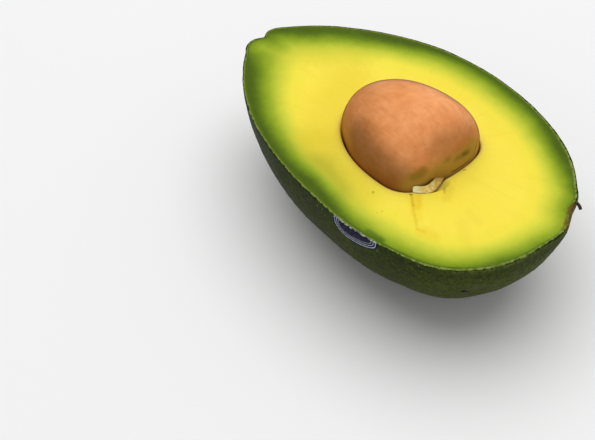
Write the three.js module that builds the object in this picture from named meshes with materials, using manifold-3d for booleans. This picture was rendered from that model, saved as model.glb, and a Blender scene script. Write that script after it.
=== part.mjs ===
// Half of an avocado, cut lengthways, lying on its round back with its stone still in the flesh.
// Units are millimetres. +X runs along the fruit to its blossom end, -X to its stem end, and +Z
// points out of the cut face. The fruit is drawn with the cut face at z = 0 and its two tips at
// x = -LENGTH / 2 and LENGTH / 2. The last lines set it down on the surface that it lies on.
import * as THREE from 'three'
import { mergeVertices } from 'three/addons/utils/BufferGeometryUtils.js'
import Module from 'manifold-3d'

// The fruit's outline on the cut face
const LENGTH = 112 // stem tip to blossom tip
const GIRTH = 33.5 // half the width, half way along
const TAPER = 7.5 // how much fuller the blossom end is than the middle, and how much slimmer the neck
const SHOULDER = 1.5 // fills the shoulders of both ends and draws the neck in behind them
const BOW = 2 // the middle lies this far to one side of a straight fruit, and the tips to the other

// The round back under the cut face
const BACK_TAPER = 0.12 // the back is deeper for its width at the stem end, by this share
const BACK_FULLNESS = 2.2 // across the fruit, 2 is an ellipse and more is fuller
const REST_SINK = 0.65 // how much of the back is pressed flat where it lies

// The skin's thickness, and the clearance that separate pieces keep
const SKIN = 1.2
const GAP = 0.3

// The stone, an egg on its side with a blunt base towards the blossom end
const STONE_RADIUS = 15.4
const STONE_TIP_LENGTH = 24.5 // from its widest ring to the rounded tip
const STONE_BASE_LENGTH = 12.2 // from its widest ring to the blunt base
const STONE_TIP_FULLNESS = 2 // a half ellipse
const STONE_BASE_FULLNESS = 3.2 // a blunter curve
const STONE_CENTRE = new THREE.Vector3(11.3, -0.4, 0.8) // the middle of its widest ring
const STONE_TURN = THREE.MathUtils.degToRad(3) // turns its axis from the fruit's own

// The scrap of pale seed coat left in a shallow pocket against the stone's base
const SCRAP_CENTRE = new THREE.Vector2(22.6, -6.3)
const SCRAP_REACH = 3.3 // how far its oval reaches along the fruit
const SCRAP_HALF_WIDTH = 5.4
const SCRAP_THICKNESS = 1.2

// The dried stub of the flower's style, a peg that droops from the skin beside the blossom tip
const STUB_PLACE = 0.946 // along the fruit, as a share of the way from tip to tip
const STUB_LENGTH = 2.6 // how far it stands out
const STUB_BASE_RADIUS = 0.75
const STUB_END_RADIUS = 0.5
const STUB_DEPTH = 1.3 // its root lies this far under the cut face
const STUB_DROOP = THREE.MathUtils.degToRad(50) // under level

// What the cut left of the oval fruit label on the skin
const LABEL_PLACE = 0.73 // its middle along the fruit, as a share of the way from tip to tip
const LABEL_CHORD = 14.5 // its width along the cut
const LABEL_DROP = 4.6 // how far it reaches down the skin
const LABEL_THICKNESS = 0.5

// Facets
const STEPS_ALONG = 40
const STEPS_ACROSS = 20
const STONE_STEPS = 9 // on each side of the widest ring
const STONE_SIDES = 36
const SCRAP_SIDES = 24
const STUB_SIDES = 12
const LABEL_STEPS = 12
const LABEL_ROWS = 3

// ---- The fruit's surface -----------------------------------------------------------------------
// along runs from 0 at the stem tip to PI at the blossom tip. across runs from 0 at the +Y edge of
// the cut face, round the back, to PI at its -Y edge.

function halfWidth(along) {
  const swell = GIRTH - TAPER * Math.cos(along) - SHOULDER * Math.cos(3 * along)
  return Math.sin(along) * swell
}

function depth(along) {
  return halfWidth(along) * (1 + BACK_TAPER * Math.cos(along))
}

function middle(along) {
  return -BOW * Math.cos(2 * along)
}

function rounded(value) {
  return Math.sign(value) * Math.abs(value) ** (2 / BACK_FULLNESS)
}

function surfacePoint(along, across) {
  return new THREE.Vector3(
    (-LENGTH / 2) * Math.cos(along),
    middle(along) + halfWidth(along) * rounded(Math.cos(across)),
    -depth(along) * rounded(Math.sin(across))
  )
}

// The place along the fruit that lies a given share of the way from tip to tip.
function alongAt(share) {
  return Math.acos(1 - 2 * share)
}

// The place across the fruit that lies drop millimetres under the cut face, on its -Y side.
function acrossAt(along, drop) {
  return Math.PI - Math.asin((drop / depth(along)) ** (BACK_FULLNESS / 2))
}

// The direction straight out of the skin. It is level all along the edge of the cut.
function outward(along, across) {
  const step = 1e-3
  const inside = THREE.MathUtils.clamp(along, step, Math.PI - step)
  const around = THREE.MathUtils.clamp(across, step, Math.PI - step)
  const forward = surfacePoint(inside + step, around).sub(surfacePoint(inside - step, around))
  const sideways = surfacePoint(inside, around + step).sub(surfacePoint(inside, around - step))
  const normal = forward.cross(sideways)
  if (inside !== along) normal.set(-Math.cos(along), 0, 0)
  if (around !== across) normal.z = 0
  return normal.normalize()
}

function lowest() {
  let deepest = 0
  for (let i = 0; i <= STEPS_ALONG; i++) {
    deepest = Math.max(deepest, depth((i / STEPS_ALONG) * Math.PI))
  }
  return -deepest
}

const REST_LEVEL = lowest() + REST_SINK

// A point inset millimetres under the skin's outside, with the back pressed flat at the bottom.
function layerPoint(along, across, inset) {
  const point = surfacePoint(along, across).addScaledVector(outward(along, across), -inset)
  point.z = Math.max(point.z, REST_LEVEL + inset)
  return point
}

// ---- Meshes from grids of points ---------------------------------------------------------------

// Adds the quads of a grid of points to triangles, facing out when rows run along the fruit.
function addGrid(triangles, grid, flipped) {
  for (let i = 0; i + 1 < grid.length; i++) {
    for (let j = 0; j + 1 < grid[i].length; j++) {
      const [a, b, c, d] = [grid[i][j], grid[i + 1][j], grid[i + 1][j + 1], grid[i][j + 1]]
      triangles.push(...(flipped ? [a, c, b, a, d, c] : [a, b, c, a, c, d]))
    }
  }
}

// A geometry with shared corners merged and the triangles that lost an edge dropped.
function closedGeometry(source) {
  const bare = source.index ? source.clone() : source
  bare.deleteAttribute('normal')
  bare.deleteAttribute('uv')
  const merged = mergeVertices(bare, 1e-4)
  const kept = []
  for (let i = 0; i < merged.index.count; i += 3) {
    const [a, b, c] = [0, 1, 2].map((corner) => merged.index.getX(i + corner))
    if (a !== b && b !== c && c !== a) kept.push(a, b, c)
  }
  merged.setIndex(kept)
  return merged
}

function geometryFrom(triangles) {
  return closedGeometry(new THREE.BufferGeometry().setFromPoints(triangles))
}

function layerGrid(inset) {
  const grid = []
  for (let i = 0; i <= STEPS_ALONG; i++) {
    const along = (i / STEPS_ALONG) * Math.PI
    const row = []
    for (let j = 0; j <= STEPS_ACROSS; j++) {
      row.push(layerPoint(along, (j / STEPS_ACROSS) * Math.PI, inset))
    }
    grid.push(row)
  }
  return grid
}

function edges(grid) {
  return grid.map((row) => [row[0], row[row.length - 1]])
}

// ---- Booleans ----------------------------------------------------------------------------------

const wasm = await Module()
wasm.setup()

function solidFrom(geometry) {
  return new wasm.Manifold(
    new wasm.Mesh({
      numProp: 3,
      vertProperties: new Float32Array(geometry.attributes.position.array),
      triVerts: new Uint32Array(geometry.index.array)
    })
  )
}

function geometryOf(solid) {
  const mesh = solid.getMesh()
  const geometry = new THREE.BufferGeometry()
  geometry.setAttribute('position', new THREE.BufferAttribute(mesh.vertProperties, 3))
  geometry.setIndex(new THREE.BufferAttribute(mesh.triVerts, 1))
  return geometry
}

// ---- The pieces --------------------------------------------------------------------------------

// The half fruit as one block, inset millimetres under the outside of its skin.
function fruitBlock(inset) {
  const grid = layerGrid(inset)
  const triangles = []
  addGrid(triangles, grid, false)
  addGrid(triangles, edges(grid), true)
  return geometryFrom(triangles)
}

// A bowl: the outside, the inside a skin's thickness in, and the cut edge between the two.
function skinBowl() {
  const outside = layerGrid(0)
  const inside = layerGrid(SKIN)
  const triangles = []
  addGrid(triangles, outside, false)
  addGrid(triangles, inside, true)
  const cut = [outside, inside].map(edges)
  for (const side of [0, 1]) {
    const strip = outside.map((row, i) => cut.map((rims) => rims[i][side]))
    addGrid(triangles, strip, side === 0)
  }
  return geometryFrom(triangles)
}

// The stone grown on all sides by extra millimetres.
function stoneEgg(extra) {
  const radius = STONE_RADIUS + extra
  const profile = []
  for (let i = -STONE_STEPS; i <= STONE_STEPS; i++) {
    const angle = ((i / STONE_STEPS) * Math.PI) / 2
    const length = (i < 0 ? STONE_TIP_LENGTH : STONE_BASE_LENGTH) + extra
    const fullness = i < 0 ? STONE_TIP_FULLNESS : STONE_BASE_FULLNESS
    const out = Math.abs(i) === STONE_STEPS ? 0 : radius * Math.cos(angle) ** (2 / fullness)
    const up = length * Math.sign(angle) * Math.abs(Math.sin(angle)) ** (2 / fullness)
    profile.push(new THREE.Vector2(out, up))
  }
  const egg = new THREE.LatheGeometry(profile, STONE_SIDES)
  egg.rotateZ(STONE_TURN - Math.PI / 2)
  egg.translate(STONE_CENTRE.x, STONE_CENTRE.y, STONE_CENTRE.z)
  return closedGeometry(egg)
}

// An upright oval plug at the stone's base, with its top at the height top.
function scrapPlug(extra, bottom, top) {
  const oval = new THREE.Shape()
  oval.absellipse(
    SCRAP_CENTRE.x, SCRAP_CENTRE.y, SCRAP_REACH + extra, SCRAP_HALF_WIDTH + extra, 0, 2 * Math.PI
  )
  const plug = new THREE.ExtrudeGeometry(oval, {
    depth: top - bottom,
    bevelEnabled: false,
    curveSegments: SCRAP_SIDES
  })
  plug.translate(0, 0, bottom)
  return solidFrom(closedGeometry(plug))
}

const cavity = solidFrom(stoneEgg(GAP))

// The flesh fills the skin and is hollowed for the stone and for the scrap of seed coat.
function fleshBlock() {
  const pocket = scrapPlug(GAP, -SCRAP_THICKNESS - GAP, SCRAP_THICKNESS)
  const block = solidFrom(fruitBlock(SKIN + GAP))
  return geometryOf(block.subtract(cavity).subtract(pocket))
}

function seedCoatScrap() {
  return geometryOf(scrapPlug(0, -SCRAP_THICKNESS, 0).subtract(cavity))
}

// The peg is rooted in the fruit, then cut back to stand clear of the skin.
function styleStub() {
  const along = alongAt(STUB_PLACE)
  const level = outward(along, 0)
  const root = surfacePoint(along, 0)
  root.z = -STUB_DEPTH
  const direction = level.clone().multiplyScalar(Math.cos(STUB_DROOP))
  direction.z = -Math.sin(STUB_DROOP)
  const sunk = STUB_BASE_RADIUS
  const peg = new THREE.CylinderGeometry(
    STUB_END_RADIUS, STUB_BASE_RADIUS, sunk + STUB_LENGTH, STUB_SIDES
  )
  const upright = new THREE.Vector3(0, 1, 0)
  const centre = root.addScaledVector(direction, (STUB_LENGTH - sunk) / 2)
  peg.applyQuaternion(new THREE.Quaternion().setFromUnitVectors(upright, direction))
  peg.translate(centre.x, centre.y, centre.z)
  const pegSolid = solidFrom(closedGeometry(peg))
  return geometryOf(pegSolid.subtract(solidFrom(fruitBlock(-GAP))))
}

// A thin patch that follows the skin on the -Y side, widest at the cut and rounded below.
function fruitLabel() {
  const middleAlong = alongAt(LABEL_PLACE)
  const alongPerMm = 1 / ((LENGTH / 2) * Math.sin(middleAlong))
  const faces = [GAP, GAP + LABEL_THICKNESS].map((height) => {
    const grid = []
    for (let i = 0; i <= LABEL_STEPS; i++) {
      const turn = Math.PI * (i / LABEL_STEPS)
      const along = middleAlong - (LABEL_CHORD / 2) * alongPerMm * Math.cos(turn)
      const drop = LABEL_DROP * Math.sin(turn)
      const row = []
      for (let j = 0; j <= LABEL_ROWS; j++) {
        const across = acrossAt(along, drop * (1 - j / LABEL_ROWS))
        row.push(surfacePoint(along, across).addScaledVector(outward(along, across), height))
      }
      grid.push(row)
    }
    return grid
  })
  const triangles = []
  addGrid(triangles, faces[1], false)
  addGrid(triangles, faces[0], true)
  const [under, over] = faces.map(edges)
  for (const side of [0, 1]) {
    const strip = under.map((rims, i) => [rims[side], over[i][side]])
    addGrid(triangles, strip, side === 1)
  }
  return geometryFrom(triangles)
}

// ---- The assembly ------------------------------------------------------------------------------

function piece(name, geometry, color, roughness) {
  const material = new THREE.MeshStandardMaterial({ color, roughness, metalness: 0 })
  const mesh = new THREE.Mesh(geometry, material)
  mesh.name = name
  return mesh
}

const avocado = new THREE.Group()
avocado.add(
  piece('skin', skinBowl(), 0x2f3a1c, 0.45),
  piece('flesh', fleshBlock(), 0xe9da4d, 0.5),
  piece('stone', stoneEgg(0), 0xb5713f, 0.4),
  piece('seed_coat_scrap', seedCoatScrap(), 0xe9dc9a, 0.45),
  piece('style_stub', styleStub(), 0x2a2116, 0.8),
  piece('label', fruitLabel(), 0x24356b, 0.4)
)

// It lies on its back, with the middle of its footprint at the origin.
const bounds = new THREE.Box3().setFromObject(avocado)
const footprint = bounds.getCenter(new THREE.Vector3())
avocado.position.set(-footprint.x, -footprint.y, -bounds.min.z)

export default avocado
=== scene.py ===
# %% [markdown]
# # Half an avocado, with its stone
# The fruit was cut lengthways in one stroke and lies on its round back, so the cut face looks up.
# Six things make it up: the leathery skin, the buttery flesh, the stone, a scrap of the seed coat
# that stayed beside the stone, the dried stub of the flower, and what the knife left of a paper
# label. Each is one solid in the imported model. Here every one of them gets its fine shape and its
# finish, in the same place and at the same size.

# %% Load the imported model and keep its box
import math

import bmesh
import bpy
import numpy as np
from mathutils import Matrix, Vector
from mathutils.bvhtree import BVHTree


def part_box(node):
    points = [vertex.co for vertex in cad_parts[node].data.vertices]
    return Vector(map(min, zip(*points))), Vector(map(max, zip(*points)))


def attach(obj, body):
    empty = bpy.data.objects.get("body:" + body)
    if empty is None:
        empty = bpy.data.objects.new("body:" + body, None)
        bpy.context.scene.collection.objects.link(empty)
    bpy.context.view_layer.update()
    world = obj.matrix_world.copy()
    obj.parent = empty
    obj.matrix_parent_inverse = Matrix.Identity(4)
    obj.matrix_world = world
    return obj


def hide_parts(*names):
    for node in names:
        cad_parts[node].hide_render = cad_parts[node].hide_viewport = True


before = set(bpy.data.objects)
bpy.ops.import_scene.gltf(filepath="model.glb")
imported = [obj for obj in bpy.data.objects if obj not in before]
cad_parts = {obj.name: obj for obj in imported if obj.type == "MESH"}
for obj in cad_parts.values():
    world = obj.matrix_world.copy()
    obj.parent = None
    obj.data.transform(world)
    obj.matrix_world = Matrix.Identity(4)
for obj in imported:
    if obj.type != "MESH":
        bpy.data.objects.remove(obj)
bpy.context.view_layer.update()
MM = 0.001
print("nodes:", sorted(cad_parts))

# %% [markdown]
# ## One rule for the whole fruit
# An avocado has no corners to measure from, so its shape is written as a rule. Two angles name any
# place on the skin: *along* runs from the stem tip to the blossom tip, and *across* runs from one
# edge of the cut, round the back, to the other edge. The rule then says how wide and how deep the
# fruit is there. The same rule is needed twice: as plain numbers for the flesh, and as a Geometry
# Nodes tree for the skin. It could be typed out twice, but then the two would drift apart. Here it
# is written once, with a few operations that work on both numbers and node sockets.

# %% Arithmetic that builds nodes
class Wire:
    """A value in Wire.tree, the node tree that is being built. Sums with it add Math nodes there."""

    tree = None

    def __init__(self, socket):
        self.socket = socket

    def __neg__(self):
        return self * -1.0

    def then(self, kind, output=0, **fed):
        """Adds a node whose first input is this value."""
        made = add_node(kind, output, **fed)
        feed(self, made.socket.node.inputs[0])
        return made


def feed(value, socket):
    """Puts a number, a vector, a material or a wire into a socket."""
    if isinstance(value, Wire):
        Wire.tree.links.new(value.socket, socket)
    else:
        socket.default_value = value


def sum_node(kind, operation, values):
    """Adds a node that works out one sum."""
    node = Wire.tree.nodes.new(kind)
    node.operation = operation
    for value, socket in zip(values, [one for one in node.inputs if one.enabled]):
        feed(value, socket)
    return Wire(next(one for one in node.outputs if one.enabled))


def math_node(operation, *values):
    return sum_node("ShaderNodeMath", operation, values)


def vector_math(operation, *values):
    return sum_node("ShaderNodeVectorMath", operation, values)


for symbol, word in {"add": "ADD", "sub": "SUBTRACT", "mul": "MULTIPLY", "truediv": "DIVIDE"}.items():
    setattr(Wire, f"__{symbol}__", lambda one, other, word=word: math_node(word, one, other))
    setattr(Wire, f"__r{symbol}__", lambda one, other, word=word: math_node(word, other, one))


def either(operation, on_numbers):
    """One function for both: numpy does it on numbers, and a Math node on wires."""

    def calculate(*values):
        if any(isinstance(value, Wire) for value in values):
            return math_node(operation, *values)
        return on_numbers(*values)

    return calculate


sine = either("SINE", np.sin)
cosine = either("COSINE", np.cos)
power = either("POWER", np.power)
size_of = either("ABSOLUTE", np.abs)
sign_of = either("SIGN", np.sign)
larger = either("MAXIMUM", np.maximum)
smaller = either("MINIMUM", np.minimum)
exponent = either("EXPONENT", np.exp)
print("sine of a quarter turn, by number:", sine(math.pi / 2))

# %% [markdown]
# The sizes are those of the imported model, in metres. In the drawing frame of the rule the cut face
# is the plane z = 0, and the two tips lie at the same distance before and behind x = 0. *Face
# Height* and *Sideways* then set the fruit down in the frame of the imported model.

# %% Sizes of the fruit
SIZES = {
    "Length": 112 * MM,
    "Girth": 33.5 * MM,
    "Taper": 7.5 * MM,
    "Shoulder": 1.5 * MM,
    "Bow": 2 * MM,
    "Back Taper": 0.12,
    "Back Fullness": 2.2,
    "Skin Thickness": 1.2 * MM,
    "Cut Rounding": 0.16 * MM,
}
SOLID_STEPS = 40  # rows of facets along the solid fruit
REST_SINK = 0.65 * MM  # how much of the back is pressed flat where it lies


def half_width(size, along):
    swell = size["Girth"] - size["Taper"] * cosine(along) - size["Shoulder"] * cosine(along * 3)
    return sine(along) * swell


def back_depth(size, along):
    return half_width(size, along) * (1 + size["Back Taper"] * cosine(along))


def middle_line(size, along):
    return -size["Bow"] * cosine(along * 2)


def fuller(value, fullness):
    """Turns the sine or cosine of a circle into that of a fuller, squarer curve."""
    return sign_of(value) * power(size_of(value), 2 / fullness)


def smooth_surface(size, along, across):
    """The place on the smooth fruit, before its dents, as x, y and z."""
    out = fuller(cosine(across), size["Back Fullness"])
    down = fuller(sine(across), size["Back Fullness"])
    return (
        size["Length"] * -0.5 * cosine(along),
        middle_line(size, along) + half_width(size, along) * out,
        back_depth(size, along) * down * -1,
    )


rows = np.linspace(0, math.pi, SOLID_STEPS + 1)
skin_low, skin_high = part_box("skin")
widest = middle_line(SIZES, rows) + half_width(SIZES, rows)
narrowest = middle_line(SIZES, rows) - half_width(SIZES, rows)
SIDEWAYS = (skin_low.y + skin_high.y - widest.max() - narrowest.min()) / 2
CUT_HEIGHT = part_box("flesh")[1].z
SIZES["Sideways"] = SIDEWAYS
SIZES["Face Height"] = CUT_HEIGHT
SIZES["Rest Level"] = REST_SINK - back_depth(SIZES, rows).max()


def drawn(x, y, z=0.0):
    """A place of the drawing frame, in mm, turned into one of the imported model's, in metres."""
    return x * MM, y * MM + SIDEWAYS, z * MM + CUT_HEIGHT


print("sideways %.2f mm, cut face %.2f mm up" % (SIDEWAYS / MM, CUT_HEIGHT / MM))

# %% [markdown]
# ## What makes it one fruit and not a perfect one
# A knife that goes through the stem end cuts the small pit where the stalk sat, so the outline has
# a notch between two soft lobes. The blossom end has a corner above its scar and a flat beside it,
# and low on its side there is a step with a small nick. Each is a soft swelling or hollow at one
# place, so a list of places, widths and heights is enough. The skin and the flesh both follow it.

# %% Dents and swellings
HOLLOWS = {  # x, y and z in the drawing frame, width and height, in mm; below 0 it goes inwards
    "stem pit": (-56, -3.6, -0.6, 1.9, -1.7),
    "lobe beside the pit": (-55.2, 1.6, -0.5, 2.6, 0.45),
    "shoulder beside the pit": (-53.9, -9.2, -0.5, 3, 0.9),
    "corner above the blossom scar": (49.9, 19.9, -1.1, 3, 0.75),
    "flat at the blossom scar": (54, 13.1, 2.1, 2.3, -0.5),
    "dip beside the scar": (54.6, 15.2, 0.3, 2.2, -0.5),
    "corner below the scar": (56.7, 8.6, -0.5, 6, 1.45),
    "fuller near side": (20.5, -31, -0.5, 8, 0.4),
    "fuller near corner": (44, -23.5, -0.5, 5.5, 0.35),
    "step low on the side": (50.4, -13.6, -12, 3.2, -0.9),
    "step nearer the cut": (52, -15.3, -9.4, 3.2, -0.7),
    "step towards the floor": (48.8, -11.9, -14.6, 3.2, -0.7),
    "nick above the step": (49.2, -17, -9.4, 0.6, -0.4),
    "end of the nick": (49.1, -17.9, -9, 0.5, -0.3),
    "other end of the nick": (49.1, -16.1, -10.1, 0.5, -0.3),
}
NUDGE = 2e-3  # the small turn by which a direction on the surface is measured


def dent_depth(*place):
    """How far all the hollows and swellings together move the skin outwards."""
    total = 0
    for *middle, width, height in HOLLOWS.values():
        x, y, z = [(value - centre * MM) / (width * MM) for value, centre in zip(place, middle)]
        total = total + exponent(-(x * x + y * y + z * z)) * (height * MM)
    return total


def straight_out(size, along, across):
    """The direction straight out of the skin, level all along the cut and at both tips."""
    inner = larger(smaller(along, math.pi - NUDGE), NUDGE)
    around = larger(smaller(across, math.pi - NUDGE), NUDGE)
    ahead = smooth_surface(size, inner + NUDGE, around)
    behind = smooth_surface(size, inner - NUDGE, around)
    later = smooth_surface(size, inner, around + NUDGE)
    earlier = smooth_surface(size, inner, around - NUDGE)
    fx, fy, fz = [a - b for a, b in zip(ahead, behind)]
    sx, sy, sz = [a - b for a, b in zip(later, earlier)]
    at_tip = sign_of(size_of(inner - along))
    at_cut = sign_of(size_of(around - across))
    x = (fy * sz - fz * sy) * (1 - at_tip)
    y = (fz * sx - fx * sz) * (1 - at_tip)
    z = (fx * sy - fy * sx) * (1 - at_tip) * (1 - at_cut)
    long = power(x * x + y * y + z * z, 0.5) + at_tip
    return x / long - cosine(along) * at_tip, y / long, z / long


def fruit_point(size, along, across, inset, roughness=0):
    """A point inset under the outside of the skin, with the back pressed flat where it lies."""
    x, y, z = smooth_surface(size, along, across)
    out_x, out_y, out_z = straight_out(size, along, across)
    out = dent_depth(x, y, z) - inset - roughness
    level = larger(z + out_z * out, size["Rest Level"] + inset)
    return x + out_x * out, y + out_y * out + size["Sideways"], level + size["Face Height"]


tip = fruit_point(SIZES, np.array([0.0, math.pi]), np.zeros(2), 0.0)
print("tips at x =", np.round(tip[0] / MM, 2), "mm")

# %% [markdown]
# ## Camera
# A long lens a third of a metre away, looking down at the cut face from beyond the blossom end, and
# turned a few degrees about its own axis. The numbers are the directions of the picture's right and
# lower edges.

# %% Camera
PICTURE_WIDTH = 595
FOCAL_PIXELS = 1200
SENSOR_WIDTH = 36.0


def put_in(name, data):
    """A new object in the scene that shows a mesh, a lamp or a camera."""
    made = bpy.data.objects.new(name, data)
    bpy.context.scene.collection.objects.link(made)
    return made


picture_right = Vector((0.5831, 0.8109, -0.0504)).normalized()
picture_down = Vector((0.552, -0.441, -0.7077))
picture_down = (picture_down - picture_down.dot(picture_right) * picture_right).normalized()
looking = picture_right.cross(picture_down)
camera_data = bpy.data.cameras.new("camera")
camera_data.sensor_width = SENSOR_WIDTH
camera_data.lens = FOCAL_PIXELS / PICTURE_WIDTH * SENSOR_WIDTH
camera_data.clip_start = 0.01
camera_data.clip_end = 10
camera = put_in("camera", camera_data)
turn = Matrix((picture_right, -picture_down, -looking)).transposed()
camera.matrix_world = Matrix.Translation(drawn(186.63, -151.8, 205.79)) @ turn.to_4x4()
bpy.context.scene.camera = camera
print("lens %.1f mm, looking %.0f degrees down" % (camera_data.lens, math.degrees(math.asin(-looking.z))))

# %% [markdown]
# ## Small helpers for trees
# Every tree below is built with the same few steps: make the tree, give it named inputs, add a
# node and feed its sockets. Writing them as helpers keeps each piece's own cells short.

# %% Helpers for node trees
def add_node(kind, output=0, **fed):
    """Adds a node and returns one of its outputs. A word in small letters in fed sets an option of
    the node, and has to come first. One with a capital feeds the socket of that name."""
    node = Wire.tree.nodes.new(kind if "Node" in kind else "GeometryNode" + kind)
    for name, value in fed.items():
        if name.islower():
            setattr(node, name, value)
            continue
        socket = next(one for one in node.inputs if one.enabled and one.name == name.replace("_", " "))
        for one in value if isinstance(value, list) else [value]:
            feed(one, socket)
    return Wire(node.outputs[output])


def new_tree(kind, name, result, inputs):
    """Opens a node group, with its inputs as wires. Each has a number or the word for its kind."""
    tree = Wire.tree = bpy.data.node_groups.new(name, kind + "NodeTree")
    for title, value in inputs.items():
        word = value if isinstance(value, str) else "Int" if isinstance(value, int) else "Float"
        socket = tree.interface.new_socket(title, in_out="INPUT", socket_type="NodeSocket" + word)
        if value != word:
            socket.default_value = value
    word = "Geometry" if kind == "Geometry" else "Float"
    tree.interface.new_socket(result, in_out="OUTPUT", socket_type="NodeSocket" + word)
    tree.nodes.new("NodeGroupOutput")
    entry = tree.nodes.new("NodeGroupInput")
    return tree, {title: Wire(entry.outputs[title]) for title in inputs}


def hand_out(value):
    """Ends a node group with the value that it puts out."""
    feed(value, Wire.tree.nodes["Group Output"].inputs[0])
    print("%s: %d nodes" % (Wire.tree.name, len(Wire.tree.nodes)))


def split(vector):
    return [Wire(part) for part in vector.then("ShaderNodeSeparateXYZ").socket.node.outputs]


def join(x, y, z):
    return add_node("ShaderNodeCombineXYZ", X=x, Y=y, Z=z)


def noise(place, finest, detail=2.0, output=0):
    """Soft noise whose lumps are about finest metres across, from 0 to 1."""
    return place.then("ShaderNodeTexNoise", output, Scale=1 / finest, Detail=detail)


def close_tree(geometry):
    """The end of every geometry tree: instances made real, shaded smooth, and the material set."""
    material = Wire(Wire.tree.nodes["Group Input"].outputs["Material"])
    smooth = geometry.then("RealizeInstances").then("SetShadeSmooth")
    hand_out(smooth.then("SetMaterial", Material=material))


def grow(tree, name, given, start=None, material=None):
    """Runs a tree on a mesh, or on an empty one, and keeps the plain mesh that it makes."""
    given = {**given, "Material": bpy.data.materials.new(material or name)}
    carrier = put_in(name + "_carrier", start.data if start else bpy.data.meshes.new(name + "_start"))
    modifier = carrier.modifiers.new(name, "NODES")
    modifier.node_group = tree
    for item in tree.interface.items_tree:
        if item.in_out == "INPUT" and item.name in given:
            modifier[item.identifier] = given[item.name]
    bpy.context.view_layer.update()
    evaluated = carrier.evaluated_get(bpy.context.evaluated_depsgraph_get())
    mesh = bpy.data.meshes.new_from_object(evaluated)
    mesh.name = name
    bpy.data.objects.remove(carrier)
    return put_in(name, mesh)


def report(piece):
    """Prints a piece's triangles, volume and box, and how many edges don't join two faces."""
    work = bmesh.new()
    work.from_mesh(piece.data)
    triangles = sum(len(face.verts) - 2 for face in work.faces)
    loose = sum(len(edge.link_faces) != 2 for edge in work.edges)
    box = np.array(piece.bound_box) / MM
    print("%s: %d triangles, %.2f cm3, %d open edges, from %s to %s mm"
          % (piece.name, triangles, work.calc_volume(signed=True) * 1e6, loose,
             box.min(0).round(2), box.max(0).round(2)))
    work.free()


print("helpers ready")

# %% [markdown]
# ## Skin
# The skin is a leathery bowl a millimetre thick, finely pebbled outside and cut square by the
# knife. A sculpted sphere would be quicker to start, but it wouldn't fit the flesh. Four flat
# sheets are laid out instead, in a space whose three directions are *along*, *across* and *inset*:
# one for the outside, one for the inside and one for each side's cut edge. One Set Position then
# wraps them all round the fruit with the rule above, and Merge by Distance closes the seams.

# %% Skin as a Geometry Nodes tree
SKIN_ROWS = 340  # steps along the fruit
SKIN_COLUMNS = 228  # steps across its back
INSIDE_COLUMNS = 16
EDGE_COLUMNS = 8
SHARP_EDGE = 0.7  # radians
PEBBLE_SIZE = 3.4 * MM
FINE_PEBBLE_SIZE = 1.3 * MM
LUMP_SIZE = 17 * MM


def sheet_of_quads(rows, columns, wide, place, turned=0.0, flipped=False):
    """A flat grid in the space of along, across and inset, half a turn long."""
    grid = add_node("MeshGrid", Size_X=math.pi, Size_Y=wide, Vertices_X=rows + 1, Vertices_Y=columns + 1)
    moved = grid.then("Transform", Translation=place, Rotation=(turned, 0.0, 0.0))
    return moved.then("FlipFaces") if flipped else moved


def pebbles(place, given):
    """How far the skin's relief reaches in at a place: soft pebbles, finer ones and broad lumps."""
    moved = vector_math("ADD", place, join(given["Seed"] * 0.01, given["Seed"] * 0.02, 0.0))
    soft = noise(moved, PEBBLE_SIZE, 1.0)
    fine = noise(moved, FINE_PEBBLE_SIZE, 1.5)
    broad = noise(moved, LUMP_SIZE, 1.0)
    grains = given["Pebble Height"] * (0.65 * soft + 0.35 * fine - 0.3)
    return larger(grains + given["Lump Height"] * (broad - 0.35), 0.0)


skin_tree, given = new_tree("Geometry", "avocado_skin_rule", "Geometry", {
    **SIZES,
    "Pebble Height": 0.34 * MM,
    "Lump Height": 0.7 * MM,
    "Seed": 4.0,  # moves the noise of the pebbles
    "Material": "Material",
})
middle = math.pi / 2
thick = given["Skin Thickness"]
laid_out = add_node("JoinGeometry", Geometry=[
    sheet_of_quads(SKIN_ROWS, SKIN_COLUMNS, math.pi, (middle, middle, 0.0)),
    sheet_of_quads(SKIN_ROWS, INSIDE_COLUMNS, math.pi, join(middle, middle, thick), flipped=True),
    sheet_of_quads(SKIN_ROWS, EDGE_COLUMNS, thick, join(middle, 0.0, thick * 0.5), middle, True),
    sheet_of_quads(SKIN_ROWS, EDGE_COLUMNS, thick, join(middle, math.pi, thick * 0.5), middle),
])
along, across, inset = split(add_node("InputPosition"))
bare = join(*smooth_surface(given, along, across))
relief = pebbles(bare, given) * (1 - smaller(inset / thick, 1.0))
x, y, z = fruit_point(given, along, across, inset, relief)
rounding = given["Cut Rounding"]
over_edge = 1 - smaller(inset / rounding, 1.0)
under_cut = (given["Face Height"] - z) / (rounding * 3)
drop = rounding * (1 - power(1 - over_edge * over_edge, 0.5)) * exponent(-under_cut)
marked = laid_out.then("StoreNamedAttribute", Name="peel_depth", Value=inset)
closed = marked.then("SetPosition", Position=join(x, y, z - drop)).then("MergeByDistance", Distance=0.9e-6)
corner = math_node("GREATER_THAN", add_node("InputMeshEdgeAngle"), SHARP_EDGE)
close_tree(closed.then("SetShadeSmooth", domain="EDGE", Selection=corner, Shade_Smooth=False))

# %% Grow the skin
skin = grow(skin_tree, "avocado_skin", SIZES)
report(skin)

# %% [markdown]
# ## Stone: its rule
# The stone is an egg on its side: a long rounded end towards the stem and a blunt base towards the
# blossom end. Turning one half-outline about its long axis gives the whole stone, so this too is a
# rule. The flesh needs it first, because the hollow that the stone sits in has to follow it.

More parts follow.
